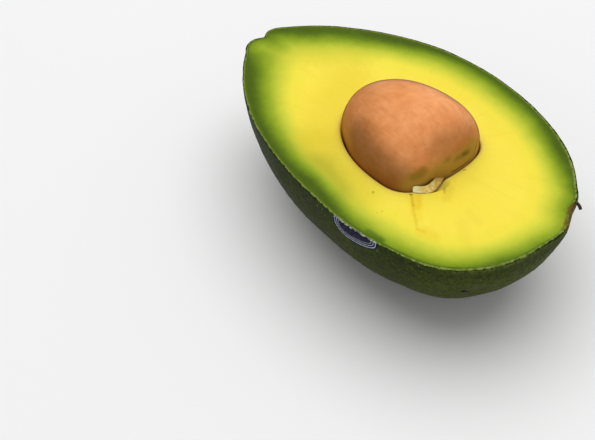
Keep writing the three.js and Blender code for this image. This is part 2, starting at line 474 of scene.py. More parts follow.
# %% Sizes of the stone
STONE = {
    "Radius": 15.4 * MM,
    "Tip Length": 24.5 * MM,
    "Base Length": 12.2 * MM,
    "Tip Fullness": 2.0,
    "Base Fullness": 3.2,
    "Centre X": 11.3 * MM,
    "Centre Y": -0.4 * MM,
    "Centre Z": 0.8 * MM,
    "Turn": math.radians(3),
}
OUTLINE_POINTS = 2001


def stone_outline(size, swing):
    """Out from the axis and along it, for a swing from -90 degrees, the tip, to 90, the base."""
    at_base = (sign_of(swing) + 1) / 2
    fullness = size["Tip Fullness"] * (1 - at_base) + size["Base Fullness"] * at_base
    length = size["Tip Length"] * (1 - at_base) + size["Base Length"] * at_base
    return size["Radius"] * fuller(cosine(swing), fullness), length * fuller(sine(swing), fullness)


outline_out, outline_along = stone_outline(STONE, np.linspace(-math.pi / 2, math.pi / 2, OUTLINE_POINTS))
STONE_X = STONE["Centre X"]
STONE_Y = STONE["Centre Y"] + SIDEWAYS
STONE_HEIGHT = STONE["Centre Z"] + CUT_HEIGHT
print("stone %.1f mm long, %.1f mm thick" % (np.ptp(outline_along) / MM, 2 * outline_out.max() / MM))

# %% [markdown]
# ## Flesh
# The flesh fills the skin and is hollowed for the stone. Its face is what everyone looks at, so its
# mesh should run the way the fruit does: rings of quads that start at the stone and spread out to
# the skin. A boolean cut would leave long slivers there. The rings are laid out with numpy: each
# spoke starts on the stone's outline and ends on the skin's, and the rows of the skin are used
# again so that the two pieces meet corner to corner.

# %% Outlines that the face runs between
SPOKES = 2 * SKIN_ROWS
STONE_GAP = 0.1 * MM
FARTHEST = 40 * MM  # nothing of the stone reaches this far from its middle
HALVINGS = 40

turns = np.arange(SPOKES) / SKIN_ROWS * math.pi
first_side = turns <= math.pi
spoke_along = np.where(first_side, turns, 2 * math.pi - turns)
rim_x, rim_y, _ = fruit_point(SIZES, spoke_along, np.where(first_side, 0.0, math.pi),
                              SIZES["Skin Thickness"])
spoke_angle = np.arctan2(rim_y - STONE_Y, rim_x - STONE_X)
rim_reach = np.hypot(rim_x - STONE_X, rim_y - STONE_Y)


def on_spokes(reach):
    """x and y at some distance from the middle of the stone, along each spoke."""
    return STONE_X + reach * np.cos(spoke_angle), STONE_Y + reach * np.sin(spoke_angle)


def stone_reach(height):
    """How far the stone reaches from its middle along each spoke, at a height."""
    near, far = np.zeros(SPOKES), np.full(SPOKES, FARTHEST)
    for _ in range(HALVINGS):
        reach = (near + far) / 2
        axial = reach * np.cos(spoke_angle - STONE["Turn"])
        aside = reach * np.sin(spoke_angle - STONE["Turn"])
        allowed = np.interp(axial, outline_along, outline_out, left=-1, right=-1)
        inside = np.hypot(aside, height - STONE_HEIGHT) < allowed
        near, far = np.where(inside, reach, near), np.where(inside, far, reach)
    return (near + far) / 2


hole_reach = stone_reach(CUT_HEIGHT) + STONE_GAP
print("hole %.1f to %.1f mm from the middle of the stone" % (hole_reach.min() / MM, hole_reach.max() / MM))

# %% [markdown]
# A ripe avocado pulls away from its stone a little, and a fold of seed coat sat at the stone's base.
# There the hole has a shallow pocket beside the stone. All round it the flesh rolls over into the
# hole with a soft lip. The knife left the face in low waves, and fibres left a few fine creases.

# %% Rings of the face
POCKET_PLACE = (23.9 * MM, -6.4 * MM)  # in the drawing frame
POCKET_TURN = math.radians(74)
POCKET_HALF_LENGTH = 4.7 * MM
POCKET_HALF_WIDTH = 2.0 * MM
POCKET_DEPTH = 1.1 * MM
FACE_RINGS = 72
LIP_WIDTH = 0.9 * MM
LIP_DROP = 0.55 * MM
SWELL_HEIGHT = 0.22 * MM  # a low rise in the flesh round the lip
SWELL_PLACE = 1.6 * MM
SWELL_WIDTH = 1.3 * MM
CALM_WIDTH = 2.5 * MM  # the face is level this near the skin
HIGHEST = 0.4 * MM
WAVES = [(0.16, 41, 0.5, 0.4), (0.10, 23, 2.0, 2.0), (0.05, 11, 1.2, 4.0)]  # height, length, angle, phase
CREASES = [  # depth, start, end and width, in mm of the drawing frame
    (0.16, (23.4, -12.5), (26.3, -14.5), 0.7),
    (0.12, (24.9, -11.2), (27.6, -14), 0.6),
    (0.1, (26.3, -14.5), (33, -18.8), 0.8),
    (0.1, (37.9, -8.8), (45, -13.8), 1.6),
    (0.08, (36.5, -5.1), (40.3, -5.8), 1.4),
]

share = np.linspace(0, 1, FACE_RINGS)
share = 0.55 * share + 0.45 * (1 - np.cos(math.pi * share)) / 2  # closer together at both ends
reach = hole_reach + share[:, None] * (rim_reach - hole_reach)
face_x, face_y = on_spokes(reach)
draw_y = face_y - SIDEWAYS


def ease(value):
    """Clips to 0 to 1, with soft ends."""
    value = np.clip(value, 0, 1)
    return value * value * (3 - 2 * value)


def off_line(x, y, start, end):
    """How far points lie from a line between two places, and the share of it they lie beside."""
    (ax, ay), (lx, ly) = start, np.subtract(end, start)
    part = np.clip(((x - ax) * lx + (y - ay) * ly) / (lx * lx + ly * ly + 1e-18), 0, 1)
    return np.hypot(x - ax - part * lx, y - ay - part * ly), part


def groove(depth, start, end, width):
    """A soft groove that is narrower towards its end."""
    off, part = off_line(face_x, draw_y, np.multiply(start, MM), np.multiply(end, MM))
    return depth * MM * np.exp(-((off / (width * MM * (1 - 0.5 * part))) ** 2))


def wave(height, length, angle, phase):
    ahead = face_x * math.cos(angle) + draw_y * math.sin(angle)
    return height * MM * np.sin(ahead / (length * MM) * 2 * math.pi + phase)


rim = np.stack([rim_x, rim_y], 1)[::4]
skin_distance = np.min([off_line(face_x, face_y, a, b)[0] for a, b in zip(rim, np.roll(rim, -1, 0))], 0)
stone_distance = reach - hole_reach
pocket_x, pocket_y = face_x - POCKET_PLACE[0], draw_y - POCKET_PLACE[1]
pocket_long = pocket_x * math.cos(POCKET_TURN) + pocket_y * math.sin(POCKET_TURN)
pocket_wide = pocket_y * math.cos(POCKET_TURN) - pocket_x * math.sin(POCKET_TURN)
pocket = ease(1.25 - (pocket_long / POCKET_HALF_LENGTH) ** 2 - (pocket_wide / POCKET_HALF_WIDTH) ** 2)
uneven = sum(wave(*one) for one in WAVES) - sum(groove(*one) for one in CREASES)
uneven = uneven + SWELL_HEIGHT * np.exp(-((stone_distance - SWELL_PLACE) / SWELL_WIDTH) ** 2)
roll = np.clip(1 - stone_distance / LIP_WIDTH, 0, 1)
lip = LIP_DROP * (1 - np.sqrt(1 - roll * roll))
relief = uneven * ease(skin_distance / CALM_WIDTH) - lip - POCKET_DEPTH * pocket
relief = np.minimum(relief, HIGHEST)
face_z = CUT_HEIGHT + relief
print("face relief %.2f to %.2f mm" % (relief.min() / MM, relief.max() / MM))

# %% [markdown]
# Below the face the flesh is hidden, so fewer rings do: a bowl that follows the stone a tenth of a
# millimetre away, and a back that is the inside of the skin. The two ends of the back's rows meet
# in the keel, where doubles are merged. Three marks are stored for the finish: *rind*, the distance
# to the skin less how much deeper the green reaches there, the distance to the stone, and *pocket*.

# %% Close the flesh into one solid
BOWL_RINGS = 10
BACK_RINGS = 12
BOWL_DEPTH = STONE["Radius"] - STONE["Centre Z"]
NECK_START = -18 * MM
NECK_LENGTH = 30 * MM
NECK_REACH = 0.35  # the share by which all the colours reach deeper at the neck
GREEN_SHIFTS = (-0.4, -1.5, 0.5)  # mm deeper all round, towards the blossom end and the far side
GREEN_PLACES = [  # x and y in the drawing frame, width, how much deeper the green reaches, in mm
    (33, 30, 9, 1.5),
    (55, 10.5, 6, -1.4),
    (54, -12, 6, 1.1),
    (27, -30.5, 8, -0.8),
    (29.9, -29.3, 2, 1.6),
    (22.5, -30.5, 4.5, 0.9),
    (39, 25, 8, 0.5),
    # painted shade: here the green reaches deeper to darken the flesh on the near side
    (6.5, -34, 9.5, 2.8),
    (-8, 31, 13, -0.8),
    (-54, -3, 6, -1.8),
    (-53, -10, 6.5, -2.3),
]


def solid_from_rings(name, rings, marks, crease=40):
    """A closed, smooth piece of quads between rings of points, with marks stored on the points."""
    mesh = bpy.data.meshes.new(name)
    row = np.arange(rings.shape[0] * rings.shape[1]).reshape(rings.shape[:2])
    beside = np.roll(row, -1, 1)
    quads = np.stack([row[:-1], beside[:-1], beside[1:], row[1:]], 2).reshape(-1, 4)
    mesh.from_pydata(rings.reshape(-1, 3), [], quads.tolist())
    for mark, values in marks.items():
        attribute = mesh.attributes.new(mark, "FLOAT", "POINT")
        attribute.data.foreach_set("value", values.ravel().astype(np.float32))
    mesh.materials.append(bpy.data.materials.new(name))
    return tidy_solid(put_in(name, mesh), crease)


def tidy_solid(piece, crease, joined=1e-6):
    """Merges doubles, drops faces that lost their area, turns faces outwards and smooths."""
    work = bmesh.new()
    work.from_mesh(piece.data)
    bmesh.ops.remove_doubles(work, verts=work.verts, dist=joined)
    bmesh.ops.dissolve_degenerate(work, edges=work.edges, dist=joined * 0.1)
    bmesh.ops.recalc_face_normals(work, faces=work.faces)
    work.to_mesh(piece.data)
    work.free()
    piece.data.shade_smooth()
    piece.data.set_sharp_from_angle(angle=math.radians(crease))
    report(piece)
    return piece


bowl = []
for step in range(BOWL_RINGS, 0, -1):
    sunk = math.sin(step / BOWL_RINGS * math.pi / 2)
    height = CUT_HEIGHT - LIP_DROP - (BOWL_DEPTH - LIP_DROP) * sunk
    level = stone_reach(height) + STONE_GAP if step < BOWL_RINGS else np.zeros(SPOKES)
    bowl.append([*on_spokes(level), np.full(SPOKES, height - STONE_GAP * sunk)])
back = []
for across in np.arange(1, BACK_RINGS + 1) / BACK_RINGS * math.pi / 2:
    across = np.where(first_side, across, math.pi - across)
    back.append(fruit_point(SIZES, spoke_along, across, SIZES["Skin Thickness"]))
rings = np.array(bowl + list(zip(face_x, face_y, face_z)) + back).transpose(0, 2, 1)

all_round, blossom, far = GREEN_SHIFTS
extra_green = all_round + blossom * np.cos(spoke_angle) + far * np.sin(spoke_angle)
for x, y, width, deeper in GREEN_PLACES:
    off = np.hypot(face_x - x * MM, draw_y - y * MM) / (width * MM)
    extra_green = extra_green + deeper * np.exp(-off * off)
rind = skin_distance / MM * (1 - NECK_REACH * ease((NECK_START - face_x) / NECK_LENGTH))
rind = np.maximum(rind - extra_green * ease((skin_distance / MM + 0.5) / 0.8), 0)
flesh_marks = {}
for mark, on_face, on_back in (("rind", rind, 0), ("stone_distance", stone_distance / MM, 20),
                               ("pocket", pocket, 0)):
    flesh_marks[mark] = np.pad(on_face, ((BOWL_RINGS, BACK_RINGS), (0, 0)),
                               constant_values=((0, on_back), (0, 0)))
flesh = solid_from_rings("avocado_flesh", rings, flesh_marks)

# %% [markdown]
# ## Stone
# The real stone is smooth but not perfect: it has broad flat places, faint veins that run from tip
# to base, and a dimple in the base where the seedling would leave. The outline rule is turned about
# the long axis by a Geometry Nodes tree, as on a lathe, and noise then presses the surface in a
# little. Pressing in only keeps the stone within its own size.

# %% Stone as a Geometry Nodes tree
STONE_ROWS = 120
STONE_SIDES = 160
FLAT_SIZE = 11 * MM
VEIN_SIZE = 2.3 * MM
VEIN_SQUEEZE = 0.16  # draws the veins out along the stone
DIMPLE = (-5.0 * MM, 3.0 * MM, -1.4 * MM, 3.2 * MM)  # place and width aside, place and width upwards

stone_tree, given = new_tree("Geometry", "avocado_stone_rule", "Geometry", {
    **STONE,
    "Sideways": SIDEWAYS,
    "Face Height": CUT_HEIGHT,
    "Flat Places": 0.55 * MM,
    "Vein Height": 0.07 * MM,
    "Dimple Depth": 1.3 * MM,
    "Seed": 2.0,
    "Material": "Material",
})
sheet = sheet_of_quads(STONE_ROWS, STONE_SIDES, 2 * math.pi, (0.0, math.pi, 0.0), flipped=True)
swing, around, _ = split(add_node("InputPosition"))
from_axis, on_axis = stone_outline(given, swing)
aside = from_axis * cosine(around)
above = from_axis * sine(around)
shift = given["Seed"] * 0.03
flat_noise = noise(join(on_axis + shift, aside, above), FLAT_SIZE, 0.5)
vein_noise = noise(join(on_axis * VEIN_SQUEEZE + shift, aside, above), VEIN_SIZE)
pressed = larger(given["Flat Places"] * (flat_noise - 0.35), 0.0) + given["Vein Height"] * vein_noise
kept = 1 - pressed / given["Radius"]
dimple_side = (aside - DIMPLE[0]) / DIMPLE[1]
dimple_rise = (above - DIMPLE[2]) / DIMPLE[3]
in_dimple = exponent(-(dimple_side * dimple_side + dimple_rise * dimple_rise))
axial = on_axis * kept - given["Dimple Depth"] * in_dimple * larger(sign_of(on_axis), 0.0)
turn_cos, turn_sin = cosine(given["Turn"]), sine(given["Turn"])
x = given["Centre X"] + axial * turn_cos - aside * kept * turn_sin
y = given["Centre Y"] + axial * turn_sin + aside * kept * turn_cos + given["Sideways"]
z = given["Centre Z"] + above * kept + given["Face Height"]
close_tree(sheet.then("SetPosition", Position=join(x, y, z)).then("MergeByDistance", Distance=2e-6))
stone = grow(stone_tree, "avocado_stone", {})
report(stone)

# %% [markdown]
# ## Scrap of seed coat
# When the halves were pulled apart, a fold of the papery seed coat stayed in the pocket beside the
# stone: thick and pale at its free tip, thin and clear along its outer edge. It is lofted through a
# few cross rows, each from the stone's side to the flesh's. Seeded random heights crumple it, and
# Subdivision Surface rounds it.

# %% Scrap of seed coat
SCRAP_ROWS = [  # stone side x and y, flesh side x and y, height of the two sides, in mm
    (22.4, -11.4, 23, -11.8, 1.9, 0.35),
    (22.6, -10.5, 23.8, -11.1, 2, 0.3),
    (23.2, -9.5, 24.7, -10.1, 1.5, 0.15),
    (23.6, -8.3, 25.5, -9.2, 1.25, 0.06),
    (23.2, -6.5, 25.8, -7.4, 1, 0.03),
    (22.3, -4.2, 25.4, -5.6, 0.6, 0.02),
    (22, -2.5, 24.4, -3.5, 0.35, 0.02),
    (22.5, -1.5, 23.3, -1.9, 0.05, 0),
]
SCRAP_DEPTH = 1.0  # mm, as are the next two
SCRAP_BROAD = 3.5  # a row this wide sags in full
CRUMPLE = 0.11
SCRAP_TOP = {0.0: 0.0, 0.12: 0.05, 0.38: -0.28, 0.68: -0.32, 0.9: -0.08, 1.0: 0.0}  # share across: sag
SCRAP_UNDER = (0.92, 0.5, 0.08)
SCRAP_SUBDIVISIONS = 3


def capped(rings):
    """Closes a stack of rings with a point in the middle of each end."""
    ends = [np.tile(ring.mean(0), (rings.shape[1], 1))[None] for ring in (rings[0], rings[-1])]
    return np.concatenate([ends[0], rings, ends[1]])


scrap_rings = []
crumple = np.random.default_rng(11)
for sx, sy, fx, fy, stone_side, flesh_side in SCRAP_ROWS:
    broad = math.hypot(fx - sx, fy - sy) / SCRAP_BROAD
    heights = {}
    for part, sag in SCRAP_TOP.items():
        heights[part] = stone_side + (flesh_side - stone_side) * part + sag * broad
        heights[part] += crumple.normal(0, CRUMPLE)
    ring = list(heights.items()) + [(part, -SCRAP_DEPTH) for part in SCRAP_UNDER]
    scrap_rings.append([drawn(sx + (fx - sx) * part, sy + (fy - sy) * part, rise) for part, rise in ring])
scrap_rings = capped(np.array(scrap_rings))
count, around = scrap_rings.shape[:2]
scrap = solid_from_rings("seed_coat", scrap_rings, {
    "outer_edge": np.tile([*SCRAP_TOP, 0.9, 0.5, 0.08], (count, 1)),  # the underside a little further in
    "towards_tip": np.repeat(np.linspace(1, 0, count), around),
}, crease=180)
rounded = scrap.modifiers.new("round", "SUBSURF")
rounded.levels = rounded.render_levels = SCRAP_SUBDIVISIONS

# %% [markdown]
# ## Stub of the flower
# Beside the blossom tip a dry brown peg still droops from the skin, the last of the flower's style.
# It follows a short path, so it is a curve in Geometry Nodes: a bent line, a little thicker towards
# its end, swept with a circle and then shrivelled by noise.

# %% Stub of the flower
STUB_SHARE = 0.94  # along the fruit, from tip to tip
STUB_LENGTH = 2.3 * MM
STUB_DROOP = math.radians(70)
STUB_DEPTH = 0.8 * MM  # its root lies this far under the cut face
STUB_ROOTED = 0.7 * MM  # and this far inside the skin
WRINKLE_SIZE = 0.55 * MM

stub_along = np.float64(math.acos(1 - 2 * STUB_SHARE))
stub_out = np.array(straight_out(SIZES, stub_along, np.float64(0)))
stub_root = np.array(fruit_point(SIZES, stub_along, np.float64(0), 0.0)) - (0, 0, STUB_DEPTH)
stub_way = stub_out * math.cos(STUB_DROOP) - (0, 0, math.sin(STUB_DROOP))
stub_tree, given = new_tree("Geometry", "flower_stub", "Geometry", {
    "Start": "Vector",
    "Middle": "Vector",
    "End": "Vector",
    "Root Radius": 0.4 * MM,
    "Tip Radius": 0.46 * MM,
    "Shrivel": 0.24 * MM,
    "Material": "Material",
})
path = add_node("CurveQuadraticBezier", Resolution=14, Start=given["Start"], Middle=given["Middle"],
                End=given["End"])
gone = add_node("SplineParameter")
thickness = given["Root Radius"] + (given["Tip Radius"] - given["Root Radius"]) * gone
ring = add_node("CurvePrimitiveCircle", Resolution=18, Radius=1.0)
swept = path.then("CurveToMesh", Profile_Curve=ring, Scale=thickness, Fill_Caps=True)
wrinkle = noise(add_node("InputPosition"), WRINKLE_SIZE, 3.0) - 0.62
offset = vector_math("SCALE", add_node("InputNormal"), wrinkle * given["Shrivel"])
close_tree(swept.then("SetPosition", Offset=offset))
stub = grow(stub_tree, "flower_stub", {
    "Start": (stub_root - stub_out * STUB_ROOTED).tolist(),
    "Middle": (stub_root + (stub_way * 0.9 + stub_out * 0.1) * STUB_LENGTH * 0.5).tolist(),
    "End": (stub_root + stub_way * STUB_LENGTH).tolist(),
}, material="dried_stub")
tidy_solid(stub, crease=60)

# %% [markdown]
# ## Label
# The knife went through an oval paper label and left this part of it on the skin: straight along
# the cut, round below. The rule alone can't place it, because the grown skin has pebbles. So a ray
# is sent at the skin from outside for each of its points, and the paper is laid where they land.
# It can't follow every pebble, so the heights found are smoothed first.

# %% Label
LABEL_SHARE = 0.714  # its middle along the fruit, from tip to tip
LABEL_CHORD = 14.5 * MM
LABEL_DROP = 4.8 * MM
LABEL_TILT = 1.0 * MM  # how much deeper its left side reaches
LABEL_STEPS = 72
LABEL_ROWS = 18
LABEL_THICK = 0.11 * MM
LABEL_SUNK = 0.25 * MM  # its back, pressed into the skin's hollows
RAY_START = 2 * MM  # outside the smooth rule
UNDER_ROUNDING = 0.35 * MM  # no ray is sent nearer the cut, where the skin's edge is round
SMOOTHINGS = 4

label_middle = math.acos(1 - 2 * LABEL_SHARE)
label_turns = np.linspace(0, math.pi, LABEL_STEPS + 1)
chord_x = -LABEL_CHORD / 2 * np.cos(label_turns)
outline_drop = np.abs(np.sin(label_turns)) ** 0.6 * (LABEL_DROP + LABEL_TILT * np.cos(label_turns))
label_along = label_middle + chord_x * 2 / SIZES["Length"] / math.sin(label_middle)
label_along = np.repeat(label_along[:, None], LABEL_ROWS + 1, 1)
label_drop = np.outer(outline_drop, np.linspace(1, 0, LABEL_ROWS + 1))


def label_turn(drop):
    """The angle across the back at which the skin lies this far under the cut."""
    share_down = drop / back_depth(SIZES, label_along)
    return math.pi - np.arcsin(share_down ** (SIZES["Back Fullness"] / 2))


def skin_relief(along, across):
    """How far in the grown skin lies from the smooth rule, found with rays."""
    start = np.stack(fruit_point(SIZES, along, across, -RAY_START), 2).reshape(-1, 3)
    way = -np.stack(straight_out(SIZES, along, across), 2).reshape(-1, 3)
    found = BVHTree.FromPolygons([v.co for v in skin.data.vertices],
                                 [tuple(f.vertices) for f in skin.data.polygons])
    reached = [found.ray_cast(Vector(a), Vector(b))[3] for a, b in zip(start, way)]
    return np.array([RAY_START if r is None else r for r in reached]).reshape(along.shape) - RAY_START


relief = skin_relief(label_along, label_turn(np.maximum(label_drop, UNDER_ROUNDING)))
for _ in range(SMOOTHINGS):
    padded = np.pad(relief, 1, mode="edge")
    relief = (padded[:-2, 1:-1] + padded[2:, 1:-1] + padded[1:-1, :-2] + padded[1:-1, 2:]) / 4
label_across = label_turn(label_drop)
label_top = np.stack(fruit_point(SIZES, label_along, label_across, relief - LABEL_THICK), 2)
label_under = np.stack(fruit_point(SIZES, label_along, label_across, relief + LABEL_SUNK), 2)
from_rim = np.hypot((chord_x[:, None] - chord_x)[:, None], label_drop[..., None] - outline_drop).min(2)
label_marks = {}
for mark, on_top, on_back in (("from_rim", from_rim, 0 * from_rim), ("below_cut", label_drop, label_drop)):
    values = np.concatenate([on_top, on_back[:, ::-1]], 1) / MM
    label_marks[mark] = np.pad(values, ((1, 1), (0, 0)), mode="edge")
label = solid_from_rings("fruit_label", capped(np.concatenate([label_top, label_under[:, ::-1]], 1)),
                         label_marks, crease=50)
print("label: skin found %.2f to %.2f mm in from the rule" % (relief.min() / MM, relief.max() / MM))

# %% [markdown]
# ## Lenticels
# The skin breathes through small corky dots. They are all alike and follow the surface, which is
# work for instances: points are scattered on the outside of the skin at least a set distance apart,
# a flat bead is placed on each, and the beads are made real so that they are kept as a mesh.

# %% Lenticels as a Geometry Nodes tree
DOT_SPREAD = 8e4  # the most dots in a square metre
DOT_SHARES = (0.35, 1.0)  # from the smallest dot to the full size

dot_tree, given = new_tree("Geometry", "skin_lenticels", "Geometry", {
    "Skin": "Geometry",
    "Spacing": 1.5 * MM,
    "Dot Width": 0.5 * MM,
    "Dot Height": 0.16 * MM,
    "Lowest": 0.6 * MM,
    "Highest": CUT_HEIGHT - 0.6 * MM,
    "Seed": 7,
    "Material": "Material",
})
_, _, height = split(add_node("InputPosition"))
wanted = math_node("LESS_THAN", add_node("InputNamedAttribute", Name="peel_depth"), 1e-6)
wanted = wanted * math_node("GREATER_THAN", height, given["Lowest"])
wanted = wanted * math_node("LESS_THAN", height, given["Highest"])
outside_only = given["Skin"].then("SeparateGeometry", domain="FACE", Selection=wanted)
points = outside_only.then("DistributePointsOnFaces", distribute_method="POISSON", Seed=given["Seed"],
                           Distance_Min=given["Spacing"], Density_Max=DOT_SPREAD)
share = add_node("FunctionNodeRandomValue", 1, data_type="FLOAT", Min=DOT_SHARES[0],
                 Max=DOT_SHARES[1], Seed=given["Seed"])
wide = given["Dot Width"] * share
bead = add_node("MeshUVSphere", Segments=8, Rings=4, Radius=0.5)
close_tree(points.then("InstanceOnPoints", Instance=bead,
                       Rotation=Wire(points.socket.node.outputs["Rotation"]),
                       Scale=join(wide, wide, given["Dot Height"] * share)))
dots = grow(dot_tree, "skin_lenticels", {}, start=skin)
report(dots)

# %% [markdown]
# ## Effects that several finishes share
# Nothing that grew has one flat colour. Three effects come back on every piece here: mottling in
# two sizes, marks with soft edges along a line, and a fine grain for the bump. Each is one shader
# node group, used with its own sizes. They put out masks and heights only.

# %% Shared shader groups
WANDER_SIZE = 2.2 * MM  # how far apart the bends of a wandering line lie


def fade(value, low, high):
    """0 below low, 1 above high, and a smooth step between them."""
    return value.then("ShaderNodeMapRange", interpolation_type="SMOOTHSTEP", From_Min=low, From_Max=high)


mottle, given = new_tree("Shader", "mottling", "Mask", {
    "Place": "Vector", "Size": 5 * MM, "Sharpness": 0.5, "Shift": 0.0})
shifted = vector_math("ADD", given["Place"], join(given["Shift"], 0.0, given["Shift"]))
coarse = noise(shifted, given["Size"], 1.0)
finer = noise(shifted, given["Size"] / 3.7, 2.0)
half_band = 0.28 * (1 - given["Sharpness"]) + 0.02
hand_out(fade(coarse * 0.65 + finer * 0.35, 0.5 - half_band, 0.5 + half_band))

soft_line, given = new_tree("Shader", "soft_line", "Mask", {
    "Place": "Vector", "Start": "Vector", "End": "Vector", "Width": 0.5 * MM,
    "Softness": 0.5 * MM, "Wander": 0.3 * MM, "Taper": 0.0})
drift = vector_math("SUBTRACT", noise(given["Place"], WANDER_SIZE, 2.0, output=1), (0.5, 0.5, 0.5))
wandered = vector_math("ADD", given["Place"], vector_math("SCALE", drift, given["Wander"] * 2))
from_start = vector_math("SUBTRACT", wandered, given["Start"])
whole = vector_math("SUBTRACT", given["End"], given["Start"])
reached = vector_math("DOT_PRODUCT", from_start, whole)
part = larger(smaller(reached / larger(vector_math("DOT_PRODUCT", whole, whole), 1e-12), 1.0), 0.0)
away = vector_math("DISTANCE", from_start, vector_math("SCALE", whole, part))
width = given["Width"] * (1 - given["Taper"] * part)
hand_out(1 - fade(away, width, width + given["Softness"]))

grain, given = new_tree("Shader", "fine_grain", "Height", {"Place": "Vector", "Size": 1 * MM})
hand_out(noise(given["Place"], given["Size"], 3.0))

# %% [markdown]
# A finish is built like paint: a ground colour first, then thin washes, each with a mask that says
# where it lies, and marks last. Colours are written as they look on a screen, from 0 to 255.

# %% Helpers for finishes
def paint(tint):
    """A colour from 0 to 255 turned into the linear light that nodes use. A wire stays a wire."""
    if isinstance(tint, Wire):
        return tint
    parts = [part / 255 for part in tint]
    return (*[p / 12.92 if p <= 0.04045 else ((p + 0.055) / 1.055) ** 2.4 for p in parts], 1.0)


def blend(mask, below, above):
    """Lays one colour over another where the mask is 1."""
    return mask.then("ShaderNodeMix", 2, data_type="RGBA", A=paint(below), B=paint(above))


def colour_steps(value, steps):
    """A ramp through colours, each at its own value."""
    ramp = value.then("ShaderNodeValToRGB")
    elements = ramp.socket.node.color_ramp.elements
    while len(elements) < len(steps):
        elements.new(0.5)
    for element, (position, tint) in zip(elements, steps.items()):
        element.position = position
        element.color = paint(tint)
    return ramp


class Finish:
    """A piece's material while it is laid on, wash over wash."""

    def __init__(self, piece):
        material = self.material = next(one for one in piece.data.materials if one)
        material.use_nodes = True
        Wire.tree = material.node_tree
        Wire.tree.nodes.clear()
        shader = add_node("ShaderNodeBsdfPrincipled")
        feed(shader, Wire.tree.nodes.new("ShaderNodeOutputMaterial").inputs["Surface"])
        self.sockets = shader.socket.node.inputs
        self.place = add_node("ShaderNodeTexCoord", "Object")

    def group(self, group, **values):
        return add_node("ShaderNodeGroup", node_tree=group, Place=self.place, **values)

    def mark(self, name):
        """A value stored on the mesh."""
        return add_node("ShaderNodeAttribute", 2, attribute_name=name)

    def mottled(self, size, sharpness, shift=0.0):
        return self.group(mottle, Size=size * MM, Sharpness=sharpness, Shift=shift)

    def streaks(self, squeeze, size, detail):
        """Noise drawn out along the fruit."""
        return noise(vector_math("MULTIPLY", self.place, (squeeze, 1.0, 1.0)), size * MM, detail)

    def line(self, start, end, width, softness, wander, taper=0.0):
        """A mask along a line between two places of the drawing frame. All but taper is in mm."""
        return self.group(soft_line, Start=drawn(*start), End=drawn(*end), Width=width * MM,
                          Softness=softness * MM, Wander=wander * MM, Taper=taper)

    def wash(self, mask, tint):
        self.colour = blend(mask, self.colour, tint)

    def bump(self, grain_size, height, strength=1.0, added=None):
        """Fine grain, with whatever is added to it. Its size and height are in mm."""
        relief = self.group(grain, Size=grain_size * MM)
        relief = relief + added if added else relief
        bumped = add_node("ShaderNodeBump", Distance=height * MM, Strength=strength, Height=relief)
        feed(bumped, self.sockets["Normal"])

    def close(self, roughness, **constants):
        """Joins colour and roughness to the shader, and sets constants on its sockets."""
        feed(self.colour, self.sockets["Base Color"])
        feed(roughness, self.sockets["Roughness"])
        for name, value in constants.items():
            self.sockets[name.replace("_", " ")].default_value = value
        print("finish of %s: %d nodes" % (self.material.name, len(Wire.tree.nodes)))


print("finish helpers ready")
